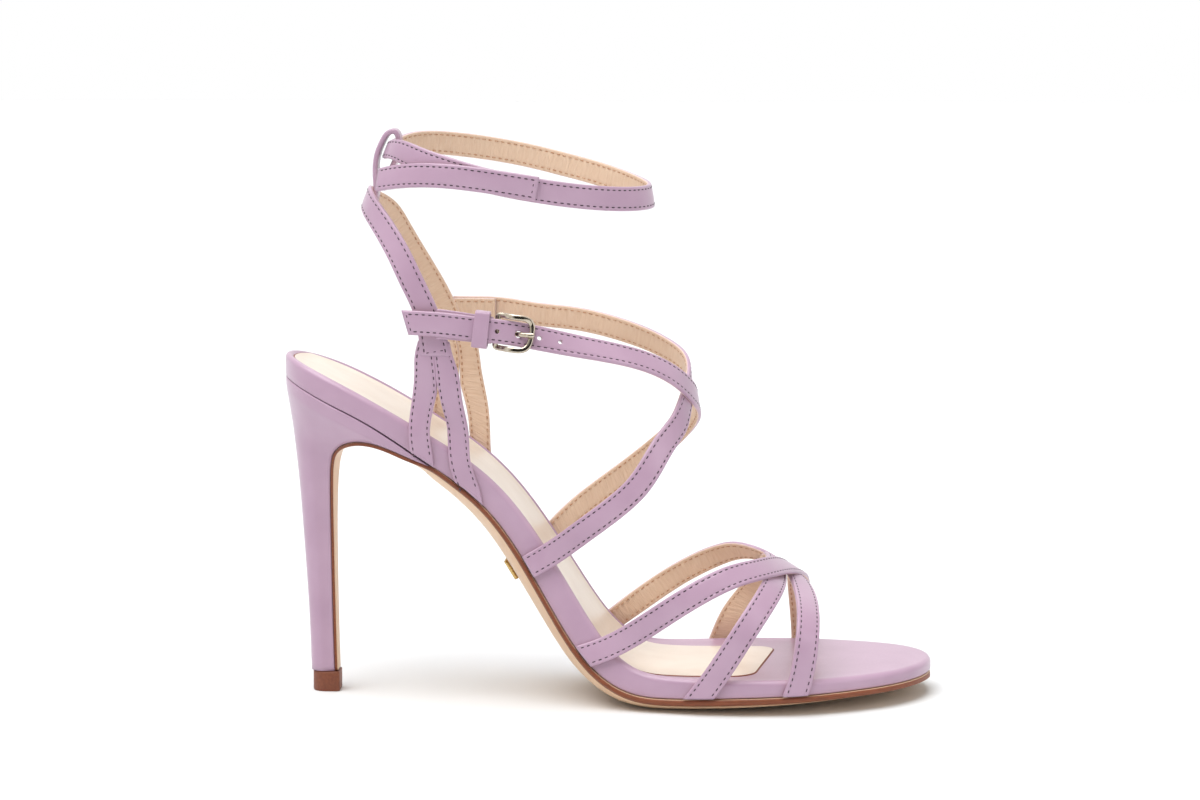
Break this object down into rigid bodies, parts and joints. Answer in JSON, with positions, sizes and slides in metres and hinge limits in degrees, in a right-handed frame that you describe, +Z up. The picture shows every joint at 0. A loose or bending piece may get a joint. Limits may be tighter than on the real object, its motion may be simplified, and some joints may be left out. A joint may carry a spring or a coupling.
{
  "type": "strappy high-heeled sandal",
  "caption": "Right-foot lilac leather sandal with a high slim heel, straps that cross at toe and instep, and an ankle ring.",
  "frame": {"origin": "centre of the heel top piece's flat bottom, on the floor that the sandal stands on", "axes": "+X forward to the toe; +Y to the wearer's left, the inner side of this right shoe; +Z up"},
  "size_m": [0.217, 0.0805, 0.1896],
  "materials": {
    "lilac_calf": "smooth satin calf",
    "cream_sock": "smooth satin lining",
    "sole_leather": "matte sole leather with a burnished edge",
    "brown_top_piece": "satin",
    "pale_nickel": "polished",
    "pale_brass": "polished"
  },
  "bodies": {
    "root": {"footbed": "lilac_calf", "sock_lining": "cream_sock", "outsole": "sole_leather", "heel": "lilac_calf", "top_piece": "brown_top_piece", "toe_straps": "lilac_calf", "instep_straps": "lilac_calf", "quarters": "lilac_calf", "ankle_strap": "lilac_calf", "ankle_stay": "lilac_calf", "back_loop": "lilac_calf", "waist_plate": "pale_brass", "buckle_frame": "pale_nickel", "buckle_prong": "pale_nickel", "buckle_chape": "lilac_calf", "strap_keeper": "lilac_calf"}
  },
  "joints": []
}
